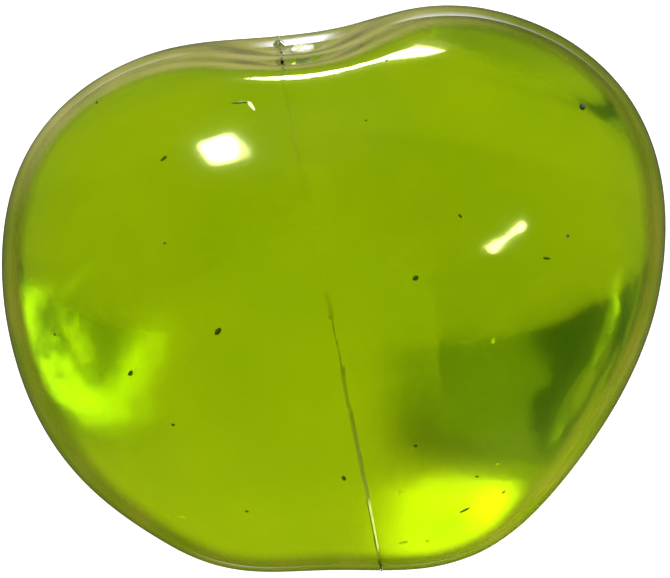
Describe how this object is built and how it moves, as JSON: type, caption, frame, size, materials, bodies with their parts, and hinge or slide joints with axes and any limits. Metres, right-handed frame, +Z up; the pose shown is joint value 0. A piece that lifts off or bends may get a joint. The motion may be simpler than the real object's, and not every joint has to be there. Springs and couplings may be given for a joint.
{
  "type": "stress ball",
  "caption": "Soft squeeze ball: clear rubber skin in two welded halves, filled with lime gel and plugged at the back, lying slumped in a bean shape.",
  "frame": {"origin": "on the table, under the middle of the ball's box", "axes": "+X to the right along the long way of the ball, +Y to the back where the waist and the filling port are, +Z up"},
  "size_m": [0.0707, 0.0591, 0.0462],
  "materials": {
    "skin": "gloss",
    "weld": "gloss",
    "gel": "gloss",
    "plug": "satin",
    "glue": "gloss"
  },
  "bodies": {
    "left_half": {"skin_left": "skin", "seam_weld": "weld", "gel_filling": "gel"},
    "right_half": {"skin_right": "skin", "fill_plug": "plug", "plug_seal": "glue"}
  },
  "joints": [
    {"name": "pinch", "type": "slide", "parent": "left_half", "child": "right_half", "axis": [-1, 0, 0], "range_m": [0, 0.014], "stiffness_N_per_m": 900, "deforming": ["skin_left", "seam_weld", "gel_filling", "skin_right", "fill_plug", "plug_seal"]}
  ]
}
